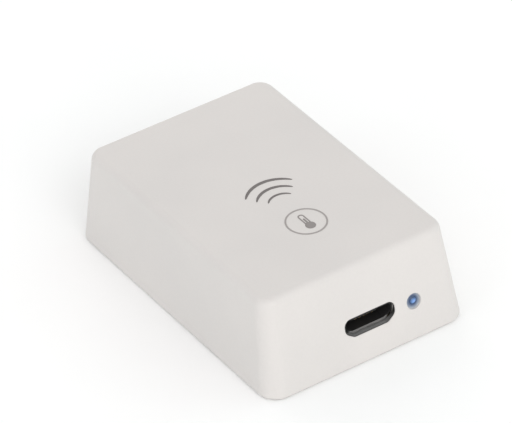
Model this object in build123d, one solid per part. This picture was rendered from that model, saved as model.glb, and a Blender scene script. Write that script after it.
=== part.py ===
from build123d import *
import math
import os

os.makedirs("parts", exist_ok=True)

# ---------------------------------------------------------------------------
# Wireless temperature sensor. Millimetres, +Z up, origin at the centre of the
# underside. Length along Y, width along X, socket and light in the wall at -Y.
# ---------------------------------------------------------------------------

# housing outline
W = 31.5                 # width at the base
L = 46.0                 # length at the base
H = 14.0                 # height
SIDE_DRAFT = 1.35        # how far each long wall leans in over the height
FRONT_DRAFT = 3.2        # the socket wall leans back more than the others
BACK_DRAFT = 1.2
R_BASE = 2.8             # plan corner radius at the base
R_TOP = 2.2              # plan corner radius at the top
TOP_FILLET = 1.2         # rounding of the top edge
WALL = 1.6               # wall thickness
TOP_WALL = 1.6
SHELL_Z0 = 0.06          # lower edge of the upper shell above the table
LOW_FILLET = 0.40        # rounding of the lower outer edge
Z_WIDE = 0.50            # height at which the outline is W by L
REBATE_DEPTH = 0.4       # step in the wall that takes the base plate
REBATE_Z = 1.55

# base plate
PLATE_T = 1.5
PLATE_GAP = 0.1
BOARD_Z0 = 2.70          # underside of the circuit board
BOARD_T = 1.6
BOARD_Z1 = BOARD_Z0 + BOARD_T
PEG_R = 0.80
PEG_TOP = 4.30
POST_R = 1.6
POST_BORE_R = 0.85
POST_BORE_TOP = 4.75
POST_XY = [(11.2, -13.0), (-11.2, -13.0), (11.2, 17.0), (-11.2, 17.0)]
BOSS_R = 2.2
SCREW_XY = [(10.7, 1.0), (-10.7, 1.0)]
SCREW_R = 0.95
SCREW_HOLE_R = 1.0
SCREW_HEAD_R = 1.75
SCREW_HEAD_H = 1.15

# circuit board
BOARD_HX = 12.6
BOARD_Y0 = -19.5
BOARD_Y1 = 19.8

# micro USB type B socket
USB_X = 0.90
USB_Z = 5.55             # centre height
USB_HW = 3.80            # half width outside, at the wide upper side
USB_HH = 1.195           # half height outside
USB_KNEE = -0.42         # where the sides turn inwards, from the centre height
USB_LOW_HW = 2.62        # half width of the narrow lower side
USB_Y0 = -21.25          # front face, just behind the opening of the wall
USB_Y1 = -15.90          # rear face
USB_T = 0.26             # sheet thickness
APERTURE_GAP = 0.155     # opening in the wall, larger than the socket by this
R_MOUTH = (1.00, 0.95)   # corner radii of the opening: upper, lower
LINER_T = 0.10           # soft lining of the opening
NOSE_Y = -21.46          # inner face of the wall below the opening, clear of the socket

# light guide and light
LED_X = 7.85
LED_Z = 5.46
PIPE_R = 1.10
PIPE_Y1 = -18.95
LED_Y0 = -18.60

# radio module
MOD_HX = 8.0
MOD_Y0 = -4.5
MOD_Y1 = 19.5
MOD_T = 0.8
CAN_HX = 6.2
CAN_Y0 = -3.3
CAN_Y1 = 12.1
CAN_H = 2.3
CAN_T = 0.2

# print on the top
INK = 0.03
PRINT_X = 0.15
RING_Y = -8.72
RING_R = 2.73
ARC_X = 0.20
ARCS = [(2.30, -4.00, 0.34, 52.0),     # radius, centre y, stroke, half angle
        (3.60, -3.62, 0.46, 53.0),
        (4.78, -3.10, 0.50, 51.0)]


# ------------------------------ helpers ------------------------------------

def section(z, inset):
    """Half width, front y, back y and corner radius of the housing at height z."""
    k = (z - Z_WIDE) / (H - Z_WIDE)
    hx = W / 2 - SIDE_DRAFT * k - inset
    y0 = -L / 2 + FRONT_DRAFT * k + inset
    y1 = L / 2 - BACK_DRAFT * k - inset
    r = max(R_BASE + (R_TOP - R_BASE) * k - inset, 0.35)
    return hx, y0, y1, r


def outline(z, inset):
    hx, y0, y1, r = section(z, inset)
    return Pos(0, (y0 + y1) / 2, z) * RectangleRounded(2 * hx, y1 - y0, r)


def drafted(z0, z1, inset):
    """Solid between two heights that follows the drafted walls."""
    a = outline(z0, inset).face().outer_wire()
    b = outline(z1, inset).face().outer_wire()
    return Solid.make_loft([a, b], ruled=True)


def box(x0, x1, y0, y1, z0, z1):
    return Pos((x0 + x1) / 2, (y0 + y1) / 2, (z0 + z1) / 2) * Box(x1 - x0, y1 - y0, z1 - z0)


def cyl(x, y, z0, z1, r):
    return Pos(x, y, (z0 + z1) / 2) * Cylinder(r, z1 - z0)


def cyl_y(x, z, y0, y1, r):
    return Pos(x, (y0 + y1) / 2, z) * (Rot(90, 0, 0) * Cylinder(r, y1 - y0))


def rounded_box(x0, x1, y0, y1, z0, z1, r):
    b = box(x0, x1, y0, y1, z0, z1)
    return fillet(b.edges(), r)


def front_plane(y):
    return Plane(origin=(0, y, 0), x_dir=(1, 0, 0), z_dir=(0, -1, 0))


def usb_profile(grow, r_top, r_low, y):
    """The socket's outline, wide side up, grown by grow, on a plane at y."""
    hw, hh, lw = USB_HW, USB_HH, USB_LOW_HW
    knee = USB_KNEE
    pts = [(-hw, hh), (hw, hh), (hw, knee), (lw, -hh), (-lw, -hh), (-hw, knee)]
    # grow every side outwards by moving it along its normal
    n = len(pts)
    lines = []
    for i in range(n):
        (xa, ya), (xb, yb) = pts[i], pts[(i + 1) % n]
        dx, dy = xb - xa, yb - ya
        ln = math.hypot(dx, dy)
        nx, ny = -dy / ln, dx / ln
        lines.append((xa + nx * grow, ya + ny * grow, dx, dy))
    out = []
    for i in range(n):
        x1, y1, dx1, dy1 = lines[i - 1]
        x2, y2, dx2, dy2 = lines[i]
        det = dx1 * dy2 - dy1 * dx2
        t = ((x2 - x1) * dy2 - (y2 - y1) * dx2) / det
        out.append((x1 + t * dx1 + USB_X, y1 + t * dy1 + USB_Z))
    face = make_face(Polyline(*out, close=True))
    vs = face.vertices()
    zs = sorted(v.Y for v in vs)
    top = [v for v in vs if v.Y > zs[-1] - 0.05]
    low = [v for v in vs if v.Y < zs[-1] - 0.05]
    face = fillet(top, r_top)
    vs = face.vertices()
    keep = []
    for v in vs:
        if any(abs(v.X - p.X) < 1e-4 and abs(v.Y - p.Y) < 1e-4 for p in low):
            keep.append(v)
    face = fillet(keep, r_low)
    return front_plane(y) * face


def usb_solid(grow, r_top, r_low, y0, y1):
    """Straight prism with the socket's outline from y0 back to y1."""
    return extrude(usb_profile(grow, r_top, r_low, y1), amount=(y1 - y0))


def solids(shape):
    return list(shape.solids())


def save(shape, name):
    if isinstance(shape, (list, tuple)):
        parts = []
        for s in shape:
            parts += solids(s)
    else:
        parts = solids(shape)
    for p in parts:
        assert p.is_valid and p.volume > 0, name
    out = parts[0] if len(parts) == 1 else Compound(parts)
    export_step(out, "parts/" + name + ".step")


# ------------------------------ upper shell --------------------------------

outer = Solid.make_loft([outline(SHELL_Z0, 0.0).face().outer_wire(),
                         outline(H, 0.0).face().outer_wire()], ruled=True)
outer = fillet(outer.faces().sort_by(Axis.Z)[-1].edges(), TOP_FILLET)
outer = fillet(outer.faces().sort_by(Axis.Z)[0].edges(), LOW_FILLET)

cavity = drafted(-0.5, H - TOP_WALL, WALL)
rebate = drafted(-0.5, REBATE_Z, WALL - REBATE_DEPTH)

shell = outer - cavity - rebate

# posts that take the pegs of the base
for x, y in POST_XY:
    shell += cyl(x, y, REBATE_Z + 0.05, H - TOP_WALL + 0.4, POST_R) & outer
# two shallow stiffening ribs under the top
for y in (-6.5, 5.0):
    shell += box(-13.6, 13.6, y - 0.4, y + 0.4, H - TOP_WALL - 0.7, H - TOP_WALL + 0.3) & outer
for x, y in POST_XY:
    shell -= cyl(x, y, 0, POST_BORE_TOP, POST_BORE_R)

# wall thinned around and below the socket, so that the shell lifts past it
shell -= box(USB_X - 4.1, USB_X + 4.1, NOSE_Y, -18.2, -1.0, USB_Z)
shell -= box(USB_X - 4.1, USB_X + 4.1, section(USB_Z, 0.75)[1], -18.2, USB_Z - 0.1, 7.2)
# socket opening
shell -= usb_solid(APERTURE_GAP, R_MOUTH[0], R_MOUTH[1], -26.0, -18.0)
# round hole for the light guide
shell -= cyl_y(LED_X, LED_Z, -26.0, -18.0, PIPE_R)

# soften the outer edges of both holes
SLOPE = math.degrees(math.atan(FRONT_DRAFT / (H - Z_WIDE)))
N_FRONT = Vector(0, -math.cos(math.radians(SLOPE)), math.sin(math.radians(SLOPE)))


def wall_plane(x, z, depth):
    """Plane on the sloping front wall at height z, moved into the wall by depth."""
    y = section(z, 0)[1]
    o = Vector(x, y, z) - N_FRONT * depth
    return Plane(origin=o, x_dir=(1, 0, 0), z_dir=N_FRONT)


def on_wall(face, depth):
    """A face of the socket's outline, laid on the sloping wall."""
    flat = front_plane(0).to_local_coords(face)
    return wall_plane(0, USB_Z, depth) * (Pos(0, -USB_Z, 0) * flat)


EDGE = 0.06
OVER = 0.05              # the cutters start this far outside the wall
DEEP = 0.40              # and end this far inside it, well within the holes
bevel = Solid.make_loft([
    on_wall(usb_profile(APERTURE_GAP + EDGE + OVER, R_MOUTH[0] + EDGE + OVER, R_MOUTH[1] + EDGE + OVER, 0),
            -OVER).face().outer_wire(),
    on_wall(usb_profile(APERTURE_GAP + EDGE - DEEP, R_MOUTH[0] + EDGE - DEEP, R_MOUTH[1] + EDGE - DEEP, 0),
            DEEP).face().outer_wire()], ruled=True)
shell -= bevel
shell -= wall_plane(LED_X, LED_Z, (DEEP - OVER) / 2) * Cone(PIPE_R + EDGE - DEEP, PIPE_R + EDGE + OVER, DEEP + OVER)
save(shell, "upper_shell")

# ------------------------------ socket lining ------------------------------

g = APERTURE_GAP - 0.01
liner = (usb_solid(g, R_MOUTH[0] - 0.01, R_MOUTH[1] - 0.01, -23.0, NOSE_Y)
         - usb_solid(g - LINER_T, R_MOUTH[0] - LINER_T, R_MOUTH[1] - LINER_T, -24.0, -20.0))
front = wall_plane(0, USB_Z, 0.07) * (Pos(0, 0, 3.0) * Box(20, 12, 6.0))
save(liner - front, "socket_liner")

# ------------------------------ light guide --------------------------------

# front end follows the slope of the wall, 0.25 mm behind it, with a small lens
y_led = section(LED_Z, 0)[1]
pipe = cyl_y(LED_X, LED_Z, -23.5, PIPE_Y1, PIPE_R)
cut = Pos(LED_X, y_led + 0.30, LED_Z) * (Rot(-SLOPE, 0, 0) * (Pos(0, -3, 0) * Box(8, 6, 8)))
pipe = pipe - cut
dome = Pos(LED_X, y_led + 0.30 + 0.45, LED_Z) * Sphere(0.72)
pipe = pipe + (dome & cut)
flange = cyl_y(LED_X, LED_Z, -21.0, -19.66, 1.6) & drafted(-0.5, H - TOP_WALL, WALL)
pipe = pipe + flange
save(pipe, "light_pipe")

# ------------------------------ print --------------------------------------


def arc_band(cx, cy, r, w, half_deg):
    """Thin arc band centred on +Y that narrows towards both ends."""
    pts = []
    n = 44
    for i in range(n):
        t = 2 * math.pi * i / n
        a = math.radians(half_deg) * math.cos(t)
        side = math.copysign(abs(math.sin(t)) ** 0.7, math.sin(t))
        rr = r + w / 2 * side
        pts.append((cx + rr * math.sin(a), cy + rr * math.cos(a)))
    return make_face(Spline(*pts, periodic=True))


marks = []
for r, y, w, half in ARCS:
    marks.append(extrude(Pos(0, 0, H) * arc_band(ARC_X, y, r, w, half), amount=INK))
ring = Pos(PRINT_X, RING_Y, H) * (Circle(RING_R + 0.12) - Circle(RING_R - 0.12))
marks.append(extrude(ring, amount=INK))
# thermometer: tube outline, filled bulb and column
tube = (Pos(PRINT_X, RING_Y + 0.28, H) * SlotOverall(2.75, 0.92, rotation=90)
        + Pos(PRINT_X, RING_Y - 0.98, H) * Circle(0.72))
bore = Pos(PRINT_X, RING_Y + 0.55, H) * SlotOverall(1.85, 0.56, rotation=90)
column = Pos(PRINT_X, RING_Y - 0.05, H) * SlotOverall(1.5, 0.26, rotation=90)
glyph = tube - bore + column
marks.append(extrude(glyph, amount=INK))
save(marks, "top_symbols")

# ------------------------------ base cover ---------------------------------

hx, y0, y1, r = section(PLATE_T, WALL - REBATE_DEPTH + PLATE_GAP)
plate = extrude(Pos(0, (y0 + y1) / 2, 0) * RectangleRounded(2 * hx, y1 - y0, 1.4), amount=PLATE_T)
plate = chamfer(plate.faces().sort_by(Axis.Z)[0].edges(), 0.3)
# shallow recess in the underside leaves a plain rim to stand on
base = plate - extrude(Pos(0, (y0 + y1) / 2, 0) * RectangleRounded(2 * hx - 5, y1 - y0 - 5, 1.5), amount=0.25)
# locating lip inside the walls
lip_out = Pos(0, 0, 0) * drafted(PLATE_T - 0.2, 2.4, WALL + 0.25)
lip_in = drafted(PLATE_T - 0.3, 2.5, WALL + 0.25 + 0.8)
lip = lip_out - lip_in
for x, y in POST_XY:
    lip -= cyl(x, y, 0, 5, POST_R + 0.35)
base += lip
for x, y in POST_XY:
    peg = cyl(x, y, PLATE_T - 0.2, PEG_TOP, PEG_R)
    peg = chamfer(peg.faces().sort_by(Axis.Z)[-1].edges(), 0.2)
    base += peg
for x, y in SCREW_XY:
    base += cyl(x, y, PLATE_T - 0.2, BOARD_Z0, BOSS_R)
    base -= cyl(x, y, 0.7, BOARD_Z0 + 1, SCREW_HOLE_R)
for x, y in ((-4.6, -18.3), (6.2, -18.3), (-5.5, 18.2), (5.5, 18.2)):
    base += box(x - 1.2, x + 1.2, y - 0.5, y + 0.5, PLATE_T - 0.2, BOARD_Z0)
save(base, "base_cover")

# ------------------------------ circuit board ------------------------------

board = extrude(Pos(0, (BOARD_Y0 + BOARD_Y1) / 2, BOARD_Z0)
                * RectangleRounded(2 * BOARD_HX, BOARD_Y1 - BOARD_Y0, 0.8), amount=BOARD_T)
NOTCH = POST_R + 0.4
for x, y in POST_XY:
    s = 1 if x > 0 else -1
    board -= cyl(x, y, 0, 9, NOTCH)
    if y < 0:
        board -= box(min(x, s * 14), max(x, s * 14), y - NOTCH, y + NOTCH, 0, 9)
    else:
        board -= box(min(x, s * 14), max(x, s * 14), y - NOTCH, 22, 0, 9)
        board -= box(min(s * (abs(x) - NOTCH), s * 14), max(s * (abs(x) - NOTCH), s * 14), y, 22, 0, 9)
for x, y in SCREW_XY:
    board -= cyl(x, y, 0, 9, 1.1)
# slots for the legs of the socket shell
LEG_Y = (-18.55, -16.75)
for s in (-1, 1):
    for y in LEG_Y:
        xc = USB_X + s * (USB_HW - USB_T / 2)
        board -= box(xc - 0.3, xc + 0.3, y - 0.6, y + 0.6, 0, 9)
# slot that keeps the heat of the board away from the temperature sensor
board -= box(-7.0, -6.2, -18.5, -14.9, 0, 9)
board -= box(-8.3, -6.2, -15.3, -14.6, 0, 9)
save(board, "circuit_board")

# screws
screws = []
for x, y in SCREW_XY:
    head = cyl(x, y, BOARD_Z1, BOARD_Z1 + SCREW_HEAD_H, SCREW_HEAD_R)
    head = fillet(head.faces().sort_by(Axis.Z)[-1].edges(), 0.55)
    head -= Pos(x, y, BOARD_Z1 + SCREW_HEAD_H) * (Rot(0, 0, 30) * Box(2.1, 0.42, 1.3))
    head -= Pos(x, y, BOARD_Z1 + SCREW_HEAD_H) * (Rot(0, 0, 120) * Box(2.1, 0.42, 1.3))
    shank = cyl(x, y, 1.3, BOARD_Z1 + 0.2, SCREW_R)
    tip = Pos(x, y, 1.1) * Cone(0.35, SCREW_R, 0.4)
    screws.append(head + shank + tip)
save(screws, "board_screws")

# ------------------------------ socket -------------------------------------

usb = usb_solid(0.0, 0.72, 0.5, USB_Y0, USB_Y1)
usb = chamfer(usb.faces().sort_by(Axis.Y)[0].edges(), 0.06)
usb -= usb_solid(-USB_T, 0.46, 0.3, USB_Y0 - 1, USB_Y1 + 1)
# legs through the board
for s in (-1, 1):
    for y in LEG_Y:
        xc = USB_X + s * (USB_HW - USB_T / 2)
        usb += box(xc - USB_T / 2, xc + USB_T / 2, y - 0.45, y + 0.45, BOARD_Z0 - 0.5, USB_Z + 0.3)
# two latch windows in the top sheet
for s in (-1, 1):
    usb -= box(USB_X + s * 1.9 - 0.35, USB_X + s * 1.9 + 0.35, -19.0, -17.6, USB_Z + 0.8, USB_Z + 2)
save(usb, "usb_shell")

TONGUE_Z = USB_Z + 0.28
core = usb_solid(-USB_T, 0.46, 0.3, -17.4, USB_Y1)
tongue = box(USB_X - 1.95, USB_X + 1.95, -20.5, -17.3, TONGUE_Z - 0.3, TONGUE_Z + 0.3)
tongue = chamfer(tongue.faces().sort_by(Axis.Y)[0].edges(), 0.12)
core = core + tongue
contacts = []
for i in range(5):
    x = USB_X + (i - 2) * 0.65
    c = box(x - 0.16, x + 0.16, -20.3, -15.5, TONGUE_Z - 0.42, TONGUE_Z - 0.30)
    c += box(x - 0.16, x + 0.16, -15.62, -15.5, BOARD_Z1, TONGUE_Z - 0.30)
    c += box(x - 0.16, x + 0.16, -15.62, -14.8, BOARD_Z1, BOARD_Z1 + 0.12)
    contacts.append(c)
for c in contacts:
    core -= c
save(core, "usb_insulator")
save(contacts, "usb_contacts")

# ------------------------------ light --------------------------------------

led = box(LED_X - 1.5, LED_X + 1.5, LED_Y0, LED_Y0 + 1.5, BOARD_Z1, BOARD_Z1 + 2.0)
led = chamfer(led.edges().filter_by(Axis.Y).group_by(Axis.Z)[-1], 0.3)
pocket = cyl_y(LED_X, BOARD_Z1 + 1.1, LED_Y0 - 1, LED_Y0 + 0.7, 0.75)
save(led - pocket, "status_led")
save(cyl_y(LED_X, BOARD_Z1 + 1.1, LED_Y0 - 0.05, LED_Y0 + 0.7, 0.75), "led_lens")

# ------------------------------ radio module -------------------------------

mod = box(-MOD_HX, MOD_HX, MOD_Y0, MOD_Y1, BOARD_Z1, BOARD_Z1 + MOD_T)
MZ = BOARD_Z1 + MOD_T
cast = [(s * MOD_HX, -3.0 + 2.0 * i) for s in (-1, 1) for i in range(8)]
cast += [(-5.0 + 2.0 * i, MOD_Y0) for i in range(6)]
for x, y in cast:
    mod -= cyl(x, y, 0, 9, 0.42)
save(mod, "module_board")
solder = []
for x, y in cast:
    s = cyl(x, y, BOARD_Z1, MZ + 0.06, 0.42)
    if abs(x) > MOD_HX - 0.01:
        q = 1 if x > 0 else -1
        s += box(min(x - q * 0.95, x - q * 0.1), max(x - q * 0.95, x - q * 0.1), y - 0.42, y + 0.42, MZ, MZ + 0.06)
        s += box(min(x, x + q * 0.8), max(x, x + q * 0.8), y - 0.42, y + 0.42, BOARD_Z1, BOARD_Z1 + 0.12)
    else:
        s += box(x - 0.42, x + 0.42, y + 0.1, y + 0.95, MZ, MZ + 0.06)
        s += box(x - 0.42, x + 0.42, y - 0.8, y, BOARD_Z1, BOARD_Z1 + 0.12)
    solder.append(s)
save(solder, "module_solder")

can = box(-CAN_HX, CAN_HX, CAN_Y0, CAN_Y1, MZ, MZ + CAN_H)
can = fillet(can.edges().filter_by(Axis.Z), 0.6)
can = fillet(can.faces().sort_by(Axis.Z)[-1].edges(), 0.3)
can -= box(-CAN_HX + CAN_T, CAN_HX - CAN_T, CAN_Y0 + CAN_T, CAN_Y1 - CAN_T, MZ - 1, MZ + CAN_H - CAN_T)
save(can, "shield_can")

# meander antenna on the far end of the module
ant = []
AZ0, AZ1 = MZ, MZ + 0.05
tw = 0.45
pts = [(-6.6, 13.0), (-6.6, 18.6), (-4.6, 18.6), (-4.6, 14.6), (-2.6, 14.6), (-2.6, 18.6),
       (-0.6, 18.6), (-0.6, 14.6), (1.4, 14.6), (1.4, 18.6), (3.4, 18.6), (3.4, 14.6),
       (5.4, 14.6), (5.4, 18.6), (6.8, 18.6)]
trace = None
for (xa, ya), (xb, yb) in zip(pts[:-1], pts[1:]):
    b = box(min(xa, xb) - tw / 2, max(xa, xb) + tw / 2, min(ya, yb) - tw / 2, max(ya, yb) + tw / 2, AZ0, AZ1)
    trace = b if trace is None else trace + b
save(trace, "module_antenna")

chip = box(-3.6, 1.4, -0.6, 4.4, MZ, MZ + 0.85)
save(chamfer(chip.faces().sort_by(Axis.Z)[-1].edges(), 0.1), "radio_chip")
flash = box(-2.6, 2.6, 6.4, 10.3, MZ, MZ + 1.4)
save(chamfer(flash.faces().sort_by(Axis.Z)[-1].edges(), 0.2), "flash_chip")
xtal = box(2.6, 5.1, 0.2, 3.4, MZ, MZ + 0.7)
save(fillet(xtal.faces().sort_by(Axis.Z)[-1].edges(), 0.15), "module_crystal")

# ------------------------------ temperature sensor -------------------------

SX, SY = -9.9, -17.45
sensor = box(SX - 1.5, SX + 1.5, SY - 1.5, SY + 1.5, BOARD_Z1 + 0.1, BOARD_Z1 + 0.95)
sensor = chamfer(sensor.faces().sort_by(Axis.Z)[-1].edges(), 0.15)
sensor -= cyl(SX + 0.95, SY - 0.95, BOARD_Z1 + 0.88, BOARD_Z1 + 2, 0.22)
save(sensor, "temperature_sensor")
leads = []
for s in (-1, 1):
    for i in range(4):
        y = SY + (i - 1.5) * 0.65
        xs = sorted((SX + s * 1.5, SX + s * 1.95))
        lead = box(xs[0], xs[1], y - 0.15, y + 0.15, BOARD_Z1 + 0.42, BOARD_Z1 + 0.56)
        xs = sorted((SX + s * 1.81, SX + s * 1.95))
        lead += box(xs[0], xs[1], y - 0.15, y + 0.15, BOARD_Z1, BOARD_Z1 + 0.56)
        xs = sorted((SX + s * 1.81, SX + s * 2.45))
        lead += box(xs[0], xs[1], y - 0.15, y + 0.15, BOARD_Z1, BOARD_Z1 + 0.14)
        leads.append(lead)
save(leads, "sensor_leads")

# ------------------------------ power parts --------------------------------

RX, RY = 3.0, -8.9
reg = box(RX - 3.25, RX + 3.25, RY - 1.75, RY + 1.75, BOARD_Z1 + 0.06, BOARD_Z1 + 1.6)
reg = chamfer(reg.faces().sort_by(Axis.Z)[-1].edges(), 0.25)
save(reg, "voltage_regulator")
leads = []
for i in range(3):
    x = RX + (i - 1) * 2.3
    lead = box(x - 0.35, x + 0.35, RY - 2.6, RY - 1.75, BOARD_Z1 + 0.75, BOARD_Z1 + 1.0)
    lead += box(x - 0.35, x + 0.35, RY - 2.6, RY - 2.35, BOARD_Z1, BOARD_Z1 + 1.0)
    lead += box(x - 0.35, x + 0.35, RY - 3.4, RY - 2.35, BOARD_Z1, BOARD_Z1 + 0.25)
    leads.append(lead)
tab = box(RX - 1.5, RX + 1.5, RY + 1.75, RY + 2.6, BOARD_Z1 + 0.75, BOARD_Z1 + 1.0)
tab += box(RX - 1.5, RX + 1.5, RY + 2.35, RY + 2.6, BOARD_Z1, BOARD_Z1 + 1.0)
tab += box(RX - 1.5, RX + 1.5, RY + 2.35, RY + 3.3, BOARD_Z1, BOARD_Z1 + 0.25)
leads.append(tab)
save(leads, "regulator_leads")

terminals = []


def chip_part(x, y, lx, ly, h, t, along_x=True):
    """Chip component: body between two wrapped end caps of length t."""
    z0 = BOARD_Z1 + 0.03
    if along_x:
        body = box(x - lx / 2 + t, x + lx / 2 - t, y - ly / 2, y + ly / 2, z0, z0 + h)
        for s in (-1, 1):
            xs = sorted((x + s * lx / 2, x + s * (lx / 2 - t)))
            c = box(xs[0], xs[1], y - ly / 2 - 0.02, y + ly / 2 + 0.02, BOARD_Z1, z0 + h + 0.02)
            terminals.append(chamfer(c.edges(), 0.04))
    else:
        body = box(x - ly / 2, x + ly / 2, y - lx / 2 + t, y + lx / 2 - t, z0, z0 + h)
        for s in (-1, 1):
            ys = sorted((y + s * lx / 2, y + s * (lx / 2 - t)))
            c = box(x - ly / 2 - 0.02, x + ly / 2 + 0.02, ys[0], ys[1], BOARD_Z1, z0 + h + 0.02)
            terminals.append(chamfer(c.edges(), 0.04))
    return body


save(chip_part(-3.1, -12.5, 3.2, 1.6, 0.65, 0.45), "input_fuse")
save(chip_part(7.9, -14.6, 2.6, 1.4, 1.0, 0.4), "protection_diode")
caps = [chip_part(-7.7, -12.2, 2.0, 1.25, 0.85, 0.35, False),
        chip_part(-8.6, -7.6, 2.0, 1.25, 0.85, 0.35, False),
        chip_part(8.3, -8.4, 2.0, 1.25, 0.85, 0.35, False),
        chip_part(10.1, -8.4, 2.0, 1.25, 0.85, 0.35, False),
        chip_part(-10.6, -4.0, 2.0, 1.25, 0.85, 0.35, False),
        chip_part(10.6, -3.8, 2.0, 1.25, 0.85, 0.35, False)]
save(caps, "ceramic_capacitors")
tant = chip_part(-4.6, -8.5, 3.5, 2.8, 1.9, 0.25)
save(tant, "tantalum_capacitor")
res = [chip_part(10.6, -17.6, 1.6, 0.8, 0.45, 0.3, False),
       chip_part(-5.0, -14.6, 1.6, 0.8, 0.45, 0.3, True),
       chip_part(10.6, 5.6, 1.6, 0.8, 0.45, 0.3, True),
       chip_part(10.6, 7.2, 1.6, 0.8, 0.45, 0.3, True),
       chip_part(10.6, 8.8, 1.6, 0.8, 0.45, 0.3, True),
       chip_part(-10.8, -6.6, 1.6, 0.8, 0.45, 0.3, False),
       chip_part(10.6, 10.4, 1.6, 0.8, 0.45, 0.3, True)]
save(res, "chip_resistors")
save(terminals, "chip_terminals")

pads = [cyl(-10.6, 5.4 + 1.9 * i, BOARD_Z1, BOARD_Z1 + 0.05, 0.6) for i in range(5)]
save(pads, "test_pads")

print("done")
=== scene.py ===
import math

import bmesh
import bpy
from mathutils import Matrix, Vector


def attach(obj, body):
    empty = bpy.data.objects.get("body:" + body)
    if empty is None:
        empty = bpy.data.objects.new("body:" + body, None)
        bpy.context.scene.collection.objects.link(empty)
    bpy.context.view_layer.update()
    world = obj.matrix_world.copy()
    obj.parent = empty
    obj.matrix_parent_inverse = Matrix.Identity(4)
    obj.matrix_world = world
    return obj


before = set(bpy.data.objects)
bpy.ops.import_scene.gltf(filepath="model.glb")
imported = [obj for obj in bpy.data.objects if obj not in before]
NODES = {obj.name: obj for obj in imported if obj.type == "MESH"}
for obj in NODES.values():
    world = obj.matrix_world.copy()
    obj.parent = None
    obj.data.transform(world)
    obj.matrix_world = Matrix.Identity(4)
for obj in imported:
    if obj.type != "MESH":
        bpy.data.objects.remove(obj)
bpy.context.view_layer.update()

MM = 0.001

# ---------------------------------------------------------------------------
# Camera
# ---------------------------------------------------------------------------

CAM_AZ = math.radians(-33.237)
CAM_EL = math.radians(36.853)
CAM_ROLL = math.radians(-2.025)
CAM_D = 570.3            # mm from the aim point
CAM_TX, CAM_TY = -1.658, 1.936
CAM_LENS = 4310.7 / 512 * 36.0

back = Vector((math.sin(CAM_AZ) * math.cos(CAM_EL), -math.cos(CAM_AZ) * math.cos(CAM_EL), math.sin(CAM_EL)))
right = Vector((math.cos(CAM_AZ), math.sin(CAM_AZ), 0.0))
up = back.cross(right)
cr, sr = math.cos(CAM_ROLL), math.sin(CAM_ROLL)
right2 = right * cr + up * sr
up2 = up * cr - right * sr
cam_data = bpy.data.cameras.new("camera")
cam_data.lens = CAM_LENS
cam_data.sensor_width = 36.0
cam_data.clip_start, cam_data.clip_end = 0.02, 20.0
cam = bpy.data.objects.new("camera", cam_data)
cam.location = (Vector((0, 0, 8)) + back * CAM_D + right2 * CAM_TX + up2 * CAM_TY) * MM
cam.rotation_mode = "QUATERNION"
cam.rotation_quaternion = Matrix((right2, up2, back)).transposed().to_quaternion()
bpy.context.scene.collection.objects.link(cam)
bpy.context.scene.camera = cam

scene = bpy.context.scene
scene.view_settings.view_transform = "Standard"
scene.view_settings.look = "None"
scene.view_settings.exposure = 0.0
scene.view_settings.gamma = 1.0


# ---------------------------------------------------------------------------
# Node helpers. All lengths inside materials are in millimetres of the object.
# ---------------------------------------------------------------------------

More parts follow.
